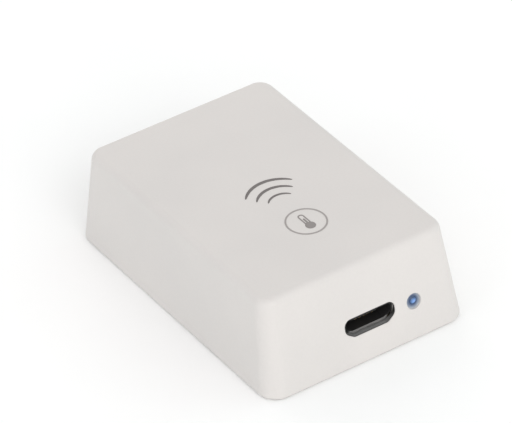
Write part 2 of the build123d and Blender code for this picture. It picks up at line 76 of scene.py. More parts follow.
class Mat:
    def __init__(self, name, **values):
        self.m = bpy.data.materials.new(name)
        self.m.use_nodes = True
        self.t = self.m.node_tree
        self.t.nodes.clear()
        self.out = self.t.nodes.new("ShaderNodeOutputMaterial")
        self.bsdf = self.t.nodes.new("ShaderNodeBsdfPrincipled")
        self.link(self.bsdf.outputs[0], self.out.inputs[0])
        self._mm = None
        self.set(**values)

    def set(self, **values):
        for k, v in values.items():
            sock = self.bsdf.inputs[k.replace("_", " ")]
            if isinstance(v, bpy.types.NodeSocket):
                self.link(v, sock)
            elif isinstance(v, tuple):
                sock.default_value = (*v, 1.0) if len(v) == 3 and sock.type == "RGBA" else v
            else:
                sock.default_value = v
        return self

    def link(self, a, b):
        self.t.links.new(a, b)

    def node(self, kind, ins=None, **props):
        n = self.t.nodes.new("ShaderNode" + kind)
        for k, v in props.items():
            setattr(n, k, v)
        for k, v in (ins or {}).items():
            self.feed(n.inputs[k], v)
        return n

    def feed(self, sock, v):
        if isinstance(v, bpy.types.NodeSocket):
            self.link(v, sock)
        else:
            sock.default_value = v

    def mm(self):
        """Object coordinates in millimetres."""
        if self._mm is None:
            tc = self.node("TexCoord")
            vm = self.node("VectorMath", {0: tc.outputs["Object"]}, operation="SCALE")
            vm.inputs["Scale"].default_value = 1000.0
            self._mm = vm.outputs[0]
            self.tc = tc
        return self._mm

    def xyz(self, v=None):
        s = self.node("SeparateXYZ", {0: v or self.mm()})
        return s.outputs[0], s.outputs[1], s.outputs[2]

    def scaled(self, sx, sy, sz, v=None):
        n = self.node("VectorMath", {0: v or self.mm(), 1: (sx, sy, sz)}, operation="MULTIPLY")
        return n.outputs[0]

    def noise(self, size, detail=2.0, rough=0.5, v=None, distortion=0.0):
        """Noise with features of about size millimetres, 0 to 1."""
        n = self.node("TexNoise", {"Vector": v or self.mm(), "Scale": 1.0 / size, "Detail": detail,
                                   "Roughness": rough, "Distortion": distortion})
        return n.outputs[0]

    def voronoi(self, size, v=None, feature="F1", rand=1.0):
        n = self.node("TexVoronoi", {"Vector": v or self.mm(), "Scale": 1.0 / size, "Randomness": rand}, feature=feature)
        return n.outputs[0]

    def math(self, op, a, b=0.0, c=0.0, clamp=False):
        n = self.node("Math", operation=op, use_clamp=clamp)
        self.feed(n.inputs[0], a)
        self.feed(n.inputs[1], b)
        self.feed(n.inputs[2], c)
        return n.outputs[0]

    def remap(self, v, a, b, c, d, smooth=False):
        n = self.node("MapRange", {0: v, 1: a, 2: b, 3: c, 4: d}, interpolation_type="SMOOTHSTEP" if smooth else "LINEAR")
        return n.outputs[0]

    def ramp(self, v, stops, interp="LINEAR"):
        n = self.node("ValToRGB")
        self.link(v, n.inputs[0])
        cr = n.color_ramp
        cr.interpolation = interp
        while len(cr.elements) < len(stops):
            cr.elements.new(0.5)
        for e, (p, c) in zip(cr.elements, stops):
            e.position = p
            e.color = (*c, 1.0) if len(c) == 3 else c
        return n.outputs[0]

    def mix(self, f, a, b, blend="MIX"):
        n = self.node("Mix", data_type="RGBA", blend_type=blend)
        n.clamp_factor = True
        self.feed(n.inputs[0], f)
        for i, v in ((6, a), (7, b)):
            self.feed(n.inputs[i], (*v, 1.0) if isinstance(v, tuple) and len(v) == 3 else v)
        return n.outputs[2]

    def bump(self, height, depth, strength=1.0, normal=None):
        """Height 0 to 1 stands for depth millimetres."""
        n = self.node("Bump", {"Strength": strength, "Distance": depth * MM, "Height": height})
        if normal is not None:
            self.link(normal, n.inputs["Normal"])
        return n.outputs[0]


def dress(material, *names):
    for name in names:
        o = NODES[name]
        if not o.material_slots:
            o.data.materials.append(material.m)
        for s in o.material_slots:
            s.material = material.m


def srgb(r, g, b):
    out = []
    for v in (r, g, b):
        v /= 255.0
        out.append(v / 12.92 if v <= 0.04045 else ((v + 0.055) / 1.055) ** 2.4)
    return tuple(out)


# ---------------------------------------------------------------------------
# Materials
# ---------------------------------------------------------------------------

def moulded(name, colour, rough=0.46, grain=1.0, tint=(1.0, 1.0, 1.0)):
    """Matt moulded plastic with the fine spark-eroded grain of its tool."""
    m = Mat(name)
    wide = m.noise(14.0, 2.0, 0.5)
    fine = m.noise(0.16, 3.0, 0.62)
    pits = m.voronoi(0.22, feature="SMOOTH_F1")
    dark = tuple(c * 0.972 for c in colour)
    light = tuple(min(1.0, c * t * 1.015) for c, t in zip(colour, tint))
    base = m.ramp(wide, [(0.3, dark), (0.7, light)])
    speck = m.remap(m.noise(0.35, 4.0, 0.7), 0.35, 0.75, 0.985, 1.012)
    shade = m.node("VectorMath", {0: base}, operation="SCALE")
    m.feed(shade.inputs["Scale"], speck)
    height = m.math("ADD", m.math("MULTIPLY", fine, 0.6), m.math("MULTIPLY", pits, 0.4))
    # faint flow marks left by the polymer, long and shallow
    flow = m.noise(5.0, 2.0, 0.5, v=m.scaled(1.0, 0.35, 1.0))
    n1 = m.bump(flow, 0.006 * grain, 0.6)
    n2 = m.bump(height, 0.010 * grain, 0.55, n1)
    r = m.math("ADD", m.remap(wide, 0.3, 0.7, rough - 0.03, rough + 0.03), m.remap(fine, 0.3, 0.7, -0.025, 0.025))
    m.set(Base_Color=shade.outputs[0], Roughness=r, Normal=n2, IOR=1.53)
    return m


shell_mat = moulded("white_shell", (0.640, 0.612, 0.596), tint=(1.004, 1.0, 0.996))
base_mat = moulded("white_base", (0.665, 0.648, 0.630), rough=0.5)


RING_X, RING_Y = 0.15, -8.72     # centre of the printed ring


def ink():
    m = Mat("grey_ink")
    cov = m.noise(0.09, 3.0, 0.65)
    tone = m.noise(1.2, 2.0, 0.5)
    c = m.mix(m.remap(cov, 0.35, 0.7, 0.0, 1.0), srgb(108, 102, 101), srgb(124, 118, 116))
    c = m.mix(m.remap(tone, 0.3, 0.7, 0.0, 0.35), c, srgb(134, 128, 126))
    # the ink is laid on thickest in the arcs, thinner in the thermometer and thinnest in the ring's fine line
    x, y, z = m.xyz()
    dx, dy = m.math("SUBTRACT", x, RING_X), m.math("SUBTRACT", y, RING_Y)
    r = m.math("SQRT", m.math("ADD", m.math("MULTIPLY", dx, dx), m.math("MULTIPLY", dy, dy)))
    thin = m.math("ADD", m.remap(r, 2.1, 2.2, 0.14, 0.40), m.math("MULTIPLY", m.remap(r, 3.0, 3.1, 0.0, 1.0), -0.4))
    c = m.mix(thin, c, srgb(190, 185, 182))
    c = m.mix(m.remap(r, 3.0, 3.1, 0.0, 0.50), c, srgb(84, 79, 78))
    m.set(Base_Color=c, Roughness=m.remap(cov, 0.3, 0.7, 0.38, 0.5), IOR=1.5,
          Normal=m.bump(cov, 0.006, 0.5))
    return m


LED_X, LED_Z = 7.85, 5.46
USB_X, USB_Z = 0.9, 5.55


def light_guide():
    """Clear guide that carries the blue light to its round front face."""
    m = Mat("light_guide")
    x, y, z = m.xyz()
    dx = m.math("SUBTRACT", x, LED_X)
    dz = m.math("SUBTRACT", z, LED_Z)
    r = m.math("SQRT", m.math("ADD", m.math("MULTIPLY", dx, dx), m.math("MULTIPLY", dz, dz)))
    wob = m.math("MULTIPLY", m.math("SUBTRACT", m.noise(0.5, 2.0, 0.5), 0.5), 0.10)
    rr = m.math("DIVIDE", m.math("ADD", r, wob), 1.25, clamp=True)
    glow = m.ramp(rr, [(0.0, (0.20, 0.35, 0.70)), (0.20, (0.11, 0.24, 0.52)), (0.40, (0.010, 0.035, 0.10)),
                       (0.56, (0.020, 0.035, 0.080)), (0.88, (0.050, 0.055, 0.070))])
    # base colour of the face grows from near-black to light grey towards its edge: painted shade and light of a
    # bevelled rim around the glowing centre
    face = m.ramp(rr, [(0.0, (0.05, 0.08, 0.16)), (0.40, (0.012, 0.020, 0.04)), (0.56, (0.08, 0.10, 0.14)),
                       (0.74, (0.22, 0.25, 0.29)), (0.88, (0.36, 0.38, 0.40))])
    front = m.remap(y, -20.9, -20.4, 1.0, 0.0)
    body = m.mix(front, (0.62, 0.72, 0.86), face)
    m.set(Base_Color=body, Roughness=m.remap(m.noise(0.3, 2.0, 0.5), 0.3, 0.7, 0.12, 0.24), IOR=1.49,
          Transmission_Weight=m.remap(front, 0.0, 1.0, 0.75, 0.0), Emission_Color=glow,
          Emission_Strength=m.math("MULTIPLY", front, 1.0),
          Normal=m.bump(m.noise(0.4, 2.0, 0.5), 0.004, 0.4))
    return m


def shade_lining():
    """Dark lining of the socket opening, standing in for its shaded ledge: upward faces painted grey as lit, the
    other faces painted near-black as shade, darker towards the right end.
    """
    m = Mat("grey_lining")
    g = m.noise(0.08, 3.0, 0.65)
    w = m.noise(0.5, 2.0, 0.5)
    # painted grey of the lit ledge, with a random tone from the noise
    lit_ledge_grey = m.ramp(m.math("ADD", m.math("MULTIPLY", g, 0.6), m.math("MULTIPLY", w, 0.4)),
                  [(0.32, (0.150, 0.148, 0.146)), (0.68, (0.215, 0.212, 0.208))])
    up = m.node("SeparateXYZ", {0: m.tc.outputs["Normal"]}).outputs[2]
    x, y, z = m.xyz()
    # upward faces get the painted lit grey, fading out towards the right; all other faces are painted near-black
    # shade
    lit_ledge_mask = m.math("MULTIPLY", m.remap(up, 0.35, 0.85, 0.0, 1.0), m.remap(x, USB_X + 2.2, USB_X + 3.6, 1.0, 0.25))
    c = m.mix(lit_ledge_mask, (0.018, 0.018, 0.018), lit_ledge_grey)
    m.set(Base_Color=c, Roughness=m.remap(g, 0.3, 0.7, 0.50, 0.66), IOR=1.5, Normal=m.bump(g, 0.012, 0.6))
    return m


def socket_steel():
    """Nickel-plated stamped sheet, bright outside; its inner faces and front rim are painted near-black as shade and
    made rougher, and the lower lip of the rim is painted grey as a lit edge.
    """
    m = Mat("socket_steel")
    x, y, z = m.xyz()
    n = m.node("SeparateXYZ", {0: m.tc.outputs["Normal"]})
    dx = m.math("SUBTRACT", x, USB_X)
    dz = m.math("SUBTRACT", z, USB_Z)
    dot = m.math("ADD", m.math("MULTIPLY", dx, n.outputs[0]), m.math("MULTIPLY", dz, n.outputs[2]))
    # inner faces and the front rim: painted near-black shade, also rougher and less metallic
    inner = m.remap(dot, -0.10, -0.30, 0.0, 1.0)
    rim = m.remap(n.outputs[1], -0.55, -0.85, 0.0, 1.0)
    shade_and_dull_mask = m.math("MAXIMUM", inner, rim)
    streak = m.noise(0.6, 3.0, 0.6, v=m.scaled(0.25, 1.0, 1.0))
    grain = m.noise(0.06, 2.0, 0.6, v=m.scaled(1.0, 0.12, 1.0))
    bright = m.ramp(streak, [(0.3, (0.50, 0.50, 0.50)), (0.7, (0.66, 0.655, 0.64))])
    # lower part of the front rim: painted grey as a lit edge
    lit_lip_mask = m.math("MULTIPLY", rim, m.remap(dz, -0.74, -0.84, 0.0, 1.0))
    c = m.mix(shade_and_dull_mask, bright, m.mix(lit_lip_mask, (0.022, 0.021, 0.021), (0.26, 0.255, 0.25)))
    ro = m.math("ADD", m.remap(grain, 0.3, 0.7, 0.20, 0.34), m.math("MULTIPLY", shade_and_dull_mask, 0.40))
    m.set(Base_Color=c, Metallic=m.remap(shade_and_dull_mask, 0.0, 1.0, 1.0, 0.5), Roughness=ro, Normal=m.bump(grain, 0.003, 0.4))
    return m


def black_plastic(name="black_plastic", dark=0.010):
    m = Mat(name)
    g = m.noise(0.10, 3.0, 0.6)
    c = m.ramp(m.noise(0.8, 2.0, 0.5), [(0.3, (dark, dark, dark)), (0.7, (dark * 1.9, dark * 1.85, dark * 1.8))])
    m.set(Base_Color=c, Roughness=m.remap(g, 0.3, 0.7, 0.38, 0.56), IOR=1.55, Normal=m.bump(g, 0.010, 0.6))
    return m


def chip_epoxy():
    """Transfer-moulded chip body: black epoxy with silica specks."""
    m = Mat("chip_black")
    g = m.noise(0.05, 3.0, 0.7)
    speck = m.voronoi(0.11)
    c = m.mix(m.remap(speck, 0.05, 0.16, 0.45, 0.0), (0.016, 0.0155, 0.0155), (0.060, 0.060, 0.062))
    m.set(Base_Color=c, Roughness=m.remap(g, 0.3, 0.7, 0.42, 0.62), IOR=1.55, Normal=m.bump(g, 0.008, 0.7))
    return m


def metal(name, lo, hi, r0, r1, grain=0.25, stretch=(1.0, 1.0, 1.0), depth=0.004):
    m = Mat(name)
    g = m.noise(grain, 4.0, 0.62, v=m.scaled(*stretch))
    w = m.noise(grain * 8, 2.0, 0.5)
    c = m.ramp(m.math("ADD", m.math("MULTIPLY", g, 0.5), m.math("MULTIPLY", w, 0.5)), [(0.36, lo), (0.64, hi)])
    m.set(Base_Color=c, Metallic=1.0, Roughness=m.remap(g, 0.3, 0.7, r0, r1), Normal=m.bump(g, depth, 0.6))
    return m


def solder_metal(name="solder"):
    m = Mat(name)
    g = m.noise(0.16, 3.0, 0.6)
    cells = m.voronoi(0.22, feature="F1")
    c = m.mix(m.remap(cells, 0.0, 0.25, 0.0, 1.0), (0.60, 0.605, 0.61), (0.72, 0.72, 0.715))
    h = m.math("ADD", m.math("MULTIPLY", g, 0.7), m.math("MULTIPLY", cells, 0.5))
    m.set(Base_Color=c, Metallic=1.0, Roughness=m.remap(g, 0.3, 0.7, 0.18, 0.36), Normal=m.bump(h, 0.020, 0.6))
    return m


def solder_mask(name, deep, mid, edge=(0.42, 0.36, 0.20)):
    """Solder mask over glass laminate: weave under the lacquer on the faces, bare laminate on the cut edge."""
    m = Mat(name)
    x, y, z = m.xyz()
    nz = m.node("SeparateXYZ", {0: m.tc.outputs["Normal"]}).outputs[2]
    face = m.math("GREATER_THAN", m.math("ABSOLUTE", nz), 0.6)
    wx = m.math("SINE", m.math("MULTIPLY", x, 2 * math.pi / 0.55))
    wy = m.math("SINE", m.math("MULTIPLY", y, 2 * math.pi / 0.48))
    weave = m.math("MULTIPLY", wx, wy)
    weave = m.remap(weave, -1.0, 1.0, 0.0, 1.0)
    pool = m.noise(3.0, 3.0, 0.5)
    top = m.ramp(m.math("ADD", m.math("MULTIPLY", weave, 0.22), m.math("MULTIPLY", pool, 0.78)), [(0.3, deep), (0.7, mid)])
    layers = m.math("SINE", m.math("MULTIPLY", z, 2 * math.pi / 0.2))
    side = m.mix(m.remap(layers, -1.0, 1.0, 0.0, 0.6), edge, tuple(c * 0.6 for c in edge))
    fibre = m.noise(0.10, 3.0, 0.6, v=m.scaled(1.0, 1.0, 4.0))
    side = m.mix(m.remap(fibre, 0.35, 0.7, 0.0, 0.4), side, tuple(min(1, c * 1.5) for c in edge))
    c = m.mix(face, side, top)
    h = m.math("ADD", m.math("MULTIPLY", weave, 0.5), m.math("MULTIPLY", m.noise(0.5, 2.0, 0.5), 0.5))
    ro = m.math("ADD", m.math("MULTIPLY", m.math("SUBTRACT", 1.0, face), 0.45), m.remap(pool, 0.3, 0.7, 0.20, 0.32))
    m.set(Base_Color=c, Roughness=ro, IOR=1.55, Normal=m.bump(h, 0.006, 0.7),
          Coat_Weight=0.25, Coat_Roughness=0.12)
    return m


def ceramic(name, lo, hi, rough=0.35):
    m = Mat(name)
    g = m.noise(0.14, 4.0, 0.65)
    c = m.ramp(m.math("ADD", m.math("MULTIPLY", g, 0.6), m.math("MULTIPLY", m.noise(0.9, 2.0, 0.5), 0.4)), [(0.35, lo), (0.65, hi)])
    m.set(Base_Color=c, Roughness=m.remap(g, 0.3, 0.7, rough - 0.06, rough + 0.08), IOR=1.6, Normal=m.bump(g, 0.010, 0.6))
    return m


def resistor_glaze():
    """Black glaze on the top, white alumina on the sides."""
    m = Mat("resistor_black")
    x, y, z = m.xyz()
    g = m.noise(0.10, 3.0, 0.6)
    top = m.remap(z, 4.62, 4.68, 0.0, 1.0)
    c = m.mix(top, m.ramp(g, [(0.3, (0.62, 0.61, 0.58)), (0.7, (0.76, 0.75, 0.72))]),
              m.ramp(g, [(0.3, (0.012, 0.012, 0.013)), (0.7, (0.028, 0.028, 0.03))]))
    m.set(Base_Color=c, Roughness=m.remap(g, 0.3, 0.7, 0.24, 0.42), IOR=1.55, Normal=m.bump(g, 0.012, 0.6))
    return m


def tantalum():
    """Yellow moulded case with the dark polarity band at one end."""
    m = Mat("tantalum_yellow")
    x, y, z = m.xyz()
    g = m.noise(0.12, 3.0, 0.65)
    c = m.ramp(g, [(0.3, srgb(212, 158, 44)), (0.7, srgb(226, 176, 62))])
    band = m.math("MULTIPLY", m.math("GREATER_THAN", x, -3.75), m.math("GREATER_THAN", z, 6.16))
    c = m.mix(m.math("MULTIPLY", band, 0.9), c, srgb(92, 62, 30))
    m.set(Base_Color=c, Roughness=m.remap(g, 0.3, 0.7, 0.34, 0.5), IOR=1.55, Normal=m.bump(g, 0.010, 0.6))
    return m


def led_window():
    m = Mat("led_window")
    g = m.noise(0.2, 2.0, 0.5)
    c = m.ramp(g, [(0.3, (0.55, 0.72, 0.95)), (0.7, (0.70, 0.84, 1.0))])
    m.set(Base_Color=c, Roughness=m.remap(g, 0.3, 0.7, 0.12, 0.22), IOR=1.5, Transmission_Weight=0.3,
          Emission_Color=(0.12, 0.35, 1.0), Emission_Strength=1.5, Normal=m.bump(g, 0.006, 0.4))
    return m


ink_mat = ink()
guide_mat = light_guide()
steel_mat = socket_steel()
black_mat = black_plastic()
gold_mat = metal("gold", (0.72, 0.50, 0.20), (0.86, 0.64, 0.30), 0.20, 0.34, grain=0.12)
epoxy_mat = chip_epoxy()
solder_mat = solder_metal()
board_mat = solder_mask("green_board", (0.006, 0.060, 0.028), (0.012, 0.105, 0.048))
module_mat = solder_mask("module_laminate", (0.006, 0.008, 0.012), (0.012, 0.016, 0.024), edge=(0.20, 0.17, 0.11))
copper_mat = metal("copper", (0.66, 0.43, 0.16), (0.82, 0.58, 0.26), 0.24, 0.40, grain=0.15)
can_mat = metal("can_steel", (0.50, 0.51, 0.52), (0.64, 0.645, 0.65), 0.22, 0.36, grain=0.10, stretch=(0.12, 1.0, 1.0), depth=0.005)
crystal_mat = metal("crystal_steel", (0.56, 0.56, 0.56), (0.68, 0.68, 0.67), 0.20, 0.32, grain=0.10)
leads_mat = metal("tinned_leads", (0.60, 0.60, 0.60), (0.74, 0.74, 0.73), 0.22, 0.36, grain=0.12)
tin_mat = metal("tin", (0.60, 0.60, 0.60), (0.76, 0.76, 0.75), 0.26, 0.42, grain=0.10)
screw_mat = metal("screw_steel", (0.46, 0.47, 0.49), (0.62, 0.62, 0.62), 0.22, 0.38, grain=0.20)
led_case_mat = ceramic("led_case", (0.70, 0.69, 0.66), (0.80, 0.79, 0.76))
fuse_mat = ceramic("fuse_green", (0.020, 0.120, 0.055), (0.035, 0.165, 0.080), 0.4)
cap_mat = ceramic("ceramic_tan", srgb(150, 108, 72), srgb(178, 134, 94), 0.4)

dress(shell_mat, "upper_shell")
dress(base_mat, "base_cover")
dress(ink_mat, "top_symbols")
dress(guide_mat, "light_pipe")
dress(steel_mat, "usb_shell")
dress(shade_lining(), "socket_liner")
dress(black_mat, "usb_insulator")
dress(gold_mat, "usb_contacts", "test_pads")
dress(board_mat, "circuit_board")
dress(screw_mat, "board_screws")
dress(led_case_mat, "status_led")
dress(led_window(), "led_lens")
dress(module_mat, "module_board")
dress(solder_mat, "module_solder")
dress(copper_mat, "module_antenna")
dress(can_mat, "shield_can")
dress(epoxy_mat, "radio_chip", "flash_chip", "temperature_sensor", "voltage_regulator", "protection_diode")
dress(crystal_mat, "module_crystal")
dress(leads_mat, "sensor_leads", "regulator_leads")
dress(fuse_mat, "input_fuse")
dress(cap_mat, "ceramic_capacitors")
dress(tantalum(), "tantalum_capacitor")
dress(resistor_glaze(), "chip_resistors")
dress(tin_mat, "chip_terminals")

# ---------------------------------------------------------------------------
# Small pieces of the circuit board, as real geometry. Millimetres in, metres out.
# ---------------------------------------------------------------------------

TOP = 4.30               # top face of the main board
MOD_TOP = 5.10           # top face of the module board


class Piece:
    """Collects closed bodies into one mesh."""

    def __init__(self, name, material, body):
        self.name, self.material, self.body = name, material, body
        self.bm = bmesh.new()

    def hull_prism(self, pts, z0, z1, inset=0.0):
        """Closed prism over a convex or simple polygon; its top may be drawn in a little."""
        n = len(pts)
        cx = sum(p[0] for p in pts) / n
        cy = sum(p[1] for p in pts) / n
        low = [self.bm.verts.new((x * MM, y * MM, z0 * MM)) for x, y in pts]
        high = []
        for x, y in pts:
            d = math.hypot(x - cx, y - cy) or 1.0
            k = (d - inset) / d
            high.append(self.bm.verts.new(((cx + (x - cx) * k) * MM, (cy + (y - cy) * k) * MM, z1 * MM)))
        self.bm.faces.new(list(reversed(low)))
        self.bm.faces.new(high)
        for i in range(n):
            j = (i + 1) % n
            self.bm.faces.new((low[i], low[j], high[j], high[i]))

    def track(self, pts, width, z0, z1):
        """Flat ribbon along a line of points, with mitred bends and round ends."""
        pts = [Vector((x, y)) for x, y in pts]
        h = width / 2
        left, right_ = [], []
        for i, p in enumerate(pts):
            a = (p - pts[i - 1]).normalized() if i else None
            b = (pts[i + 1] - p).normalized() if i < len(pts) - 1 else None
            d = ((a or b) + (b or a)).normalized()
            nrm = Vector((-d.y, d.x))
            side = Vector((-(b or a).y, (b or a).x))
            k = h / max(0.35, nrm.dot(side))
            left.append(p + nrm * k)
            right_.append(p - nrm * k)
        d0 = (pts[1] - pts[0]).normalized()
        d1 = (pts[-1] - pts[-2]).normalized()
        cap0 = [pts[0] - d0 * h * math.sin(t) + Vector((-d0.y, d0.x)) * h * math.cos(t) for t in (math.pi * i / 6 for i in range(1, 6))]
        cap1 = [pts[-1] + d1 * h * math.sin(t) - Vector((-d1.y, d1.x)) * h * math.cos(t) for t in (math.pi * i / 6 for i in range(1, 6))]
        ring = list(reversed(left)) + cap0 + right_ + cap1
        ring.reverse()
        area2 = sum(ring[i].x * ring[(i + 1) % len(ring)].y - ring[(i + 1) % len(ring)].x * ring[i].y for i in range(len(ring)))
        if area2 < 0:
            ring.reverse()
        low = [self.bm.verts.new((v.x * MM, v.y * MM, z0 * MM)) for v in ring]
        high = [self.bm.verts.new((v.x * MM, v.y * MM, z1 * MM)) for v in ring]
        self.bm.faces.new(list(reversed(low)))
        self.bm.faces.new(high)
        n = len(ring)
        for i in range(n):
            j = (i + 1) % n
            self.bm.faces.new((low[i], low[j], high[j], high[i]))

    def ring(self, x, y, r0, r1, z0, z1, n=24):
        """Flat ring with a hole; the outer edge is slightly bevelled."""
        prof = [(r0, z0), (r1, z0), (r1, z0 + (z1 - z0) * 0.6), (r1 - (r1 - r0) * 0.2, z1), (r0, z1)]
        loops = []
        for i in range(n):
            t = 2 * math.pi * i / n
            loops.append([self.bm.verts.new(((x + r * math.cos(t)) * MM, (y + r * math.sin(t)) * MM, z * MM)) for r, z in prof])
        for i in range(n):
            a, b = loops[i], loops[(i + 1) % n]
            for k in range(len(prof)):
                m = (k + 1) % len(prof)
                self.bm.faces.new((a[k], b[k], b[m], a[m]))

    def dome(self, x, y, r, z0, h, n=20, m=4):
        """Closed low dome on a flat base."""
        rows = []
        for k in range(m):
            t = math.pi / 2 * k / m
            rows.append([self.bm.verts.new(((x + r * math.cos(t) * math.cos(a)) * MM, (y + r * math.cos(t) * math.sin(a)) * MM,
                                            (z0 + h * math.sin(t)) * MM)) for a in (2 * math.pi * i / n for i in range(n))])
        tip = self.bm.verts.new((x * MM, y * MM, (z0 + h) * MM))
        self.bm.faces.new(list(reversed(rows[0])))
        for k in range(m - 1):
            for i in range(n):
                j = (i + 1) % n
                self.bm.faces.new((rows[k][i], rows[k][j], rows[k + 1][j], rows[k + 1][i]))
        for i in range(n):
            self.bm.faces.new((rows[-1][i], rows[-1][(i + 1) % n], tip))

    def meniscus(self, x, y, dx, dy, width, height, run, z0=TOP):
        """Solder fillet: concave wedge that leans on a face at (x, y) and runs out along (dx, dy)."""
        prof = [(0.0, height), (0.08, height * 0.70), (0.20, height * 0.44), (0.38, height * 0.23), (0.62, height * 0.10), (1.0, 0.02)]
        px, py = -dy, dx
        rows = []
        for j in range(9):
            side = j / 4 - 1
            tall = 1 - 0.62 * side ** 6
            long_ = 1 - 0.30 * side ** 4
            row = []
            for u, z in prof:
                w = width / 2
                row.append(self.bm.verts.new(((x + dx * run * u * long_ + px * w * side) * MM,
                                              (y + dy * run * u * long_ + py * w * side) * MM, (z0 + z * tall) * MM)))
            row.append(self.bm.verts.new(((x + dx * run * long_ + px * width / 2 * side) * MM,
                                          (y + dy * run * long_ + py * width / 2 * side) * MM, (z0 - 0.005) * MM)))
            row.append(self.bm.verts.new(((x + px * width / 2 * side) * MM, (y + py * width / 2 * side) * MM, (z0 - 0.005) * MM)))
            rows.append(row)
        n = len(rows[0])
        for a, b in zip(rows[:-1], rows[1:]):
            for k in range(n):
                m = (k + 1) % n
                self.bm.faces.new((a[k], a[m], b[m], b[k]))
        self.bm.faces.new(list(reversed(rows[0])))
        self.bm.faces.new(rows[-1])

    def done(self, smooth=False):
        bmesh.ops.recalc_face_normals(self.bm, faces=self.bm.faces[:])
        if smooth:
            for f in self.bm.faces:
                f.smooth = True
            for e in self.bm.edges:
                e.smooth = e.calc_face_angle(0.0) < 0.9
        mesh = bpy.data.meshes.new(self.name)
        self.bm.to_mesh(mesh)
        self.bm.free()
        mesh.materials.append(self.material.m)
        o = bpy.data.objects.new(self.name, mesh)
        scene.collection.objects.link(o)
        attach(o, self.body)
        return o


track_mat = solder_mask("masked_copper", (0.012, 0.105, 0.048), (0.020, 0.150, 0.068))
silk_mat = ceramic("screen_ink", (0.62, 0.62, 0.60), (0.78, 0.78, 0.76), 0.5)

# tracks between the parts: signals narrow, supply wide
tracks = Piece("board_tracks", track_mat, "base")
NARROW = [
    [(0.25, -14.9), (0.25, -13.4)], [(0.90, -14.9), (0.90, -13.9), (1.3, -13.5)],
    [(-4.3, -14.6), (-3.3, -14.6), (-2.7, -14.0)], [(-5.7, -14.6), (-6.0, -14.3), (-6.0, -13.8)],
    [(-7.7, -16.5), (-7.7, -16.1), (-8.5, -15.3), (-8.5, -11.0), (-8.8, -10.7), (-8.8, -9.1), (-8.6, -8.9)],
    [(-11.9, -16.4), (-11.9, -15.9), (-11.5, -15.5), (-9.3, -15.5), (-8.8, -15.0), (-8.8, -11.2), (-9.3, -10.7), (-9.3, -8.8), (-10.2, -7.9), (-10.7, -7.6)],
    [(8.6, 5.0), (9.2, 5.0), (9.8, 5.6)], [(8.6, 7.0), (9.6, 7.0), (9.8, 7.2)], [(8.6, 9.0), (9.6, 9.0), (9.8, 8.8)],
    [(8.6, 11.0), (9.2, 11.0), (9.8, 10.4)],
    [(11.3, 5.6), (11.7, 5.6), (12.0, 5.9), (12.0, 12.0)], [(11.3, 7.2), (12.0, 7.2)], [(11.3, 8.8), (12.0, 8.8)], [(11.3, 10.4), (12.0, 10.4)],
    [(-8.6, 5.0), (-9.2, 5.0), (-9.6, 5.4), (-10.2, 5.4)], [(-8.6, 7.0), (-9.4, 7.0), (-9.7, 7.3), (-10.2, 7.3)],
    [(-8.6, 9.0), (-9.5, 9.0), (-9.7, 9.2), (-10.2, 9.2)], [(-8.6, 11.0), (-9.5, 11.0), (-9.6, 11.1), (-10.2, 11.1)],
    [(-10.2, 13.0), (-9.3, 13.0), (-8.9, 13.4)], [(8.6, -1.0), (9.1, -1.0)], [(-8.6, -1.0), (-9.1, -1.0)],
    [(8.6, 1.0), (8.9, 1.0)], [(-8.6, 3.0), (-9.1, 3.0), (-9.4, 3.3)], [(8.6, 3.0), (9.0, 3.4), (9.0, 3.9)],
    [(9.6, -17.8), (10.1, -18.3), (10.5, -18.3)], [(10.6, -16.7), (10.6, -16.1), (9.6, -15.1), (9.3, -14.7)],
    [(-5.0, -5.3), (-5.0, -6.0), (-5.4, -6.4)], [(-3.0, -5.3), (-3.0, -6.2)], [(-1.0, -5.3), (-1.0, -6.0), (-0.6, -6.4)],
    [(-10.6, -5.0), (-10.8, -5.2), (-10.8, -5.7)],
]
for i, line in enumerate(NARROW):
    tracks.track(line, 0.18, TOP - 0.01 - 0.0004 * i, TOP + 0.028 + 0.0002 * i)
WIDE = [
    ([(-0.40, -14.9), (-0.40, -13.6), (-1.4, -12.6), (-1.7, -12.5)], 0.40),
    ([(-4.6, -12.5), (-6.3, -12.5), (-7.3, -11.5), (-7.6, -11.4)], 0.60),
    ([(-7.5, -11.0), (-7.5, -10.4), (-6.3, -9.2), (-6.2, -8.8)], 0.60),
    ([(-2.9, -8.5), (-2.0, -8.5), (-0.7, -9.8), (-0.7, -11.0), (0.0, -11.7), (0.6, -11.8)], 0.70),
    ([(3.0, -12.0), (3.0, -12.9), (3.5, -13.4), (6.1, -13.4), (7.3, -12.2), (8.3, -11.2), (8.3, -9.5)], 0.55),
    ([(8.3, -9.5), (10.1, -9.5)], 0.55),
    ([(8.3, -7.3), (8.3, -6.6), (7.0, -5.3), (5.2, -5.3)], 0.55),
    ([(10.6, -4.9), (10.6, -6.4), (10.1, -6.9), (10.1, -7.3)], 0.45),
    ([(2.2, -15.0), (2.7, -14.6), (6.6, -14.6)], 0.35),
    ([(-8.7, -3.0), (-10.3, -3.0)], 0.40), ([(8.7, -3.0), (9.9, -2.9), (10.4, -2.9)], 0.40),
    ([(3.0, -5.9), (3.0, -5.2)], 1.20),
]
for i, (line, w) in enumerate(WIDE):
    tracks.track(line, w, TOP - 0.03 - 0.0004 * i, TOP + 0.0345 + 0.0002 * i)
tracks.done()

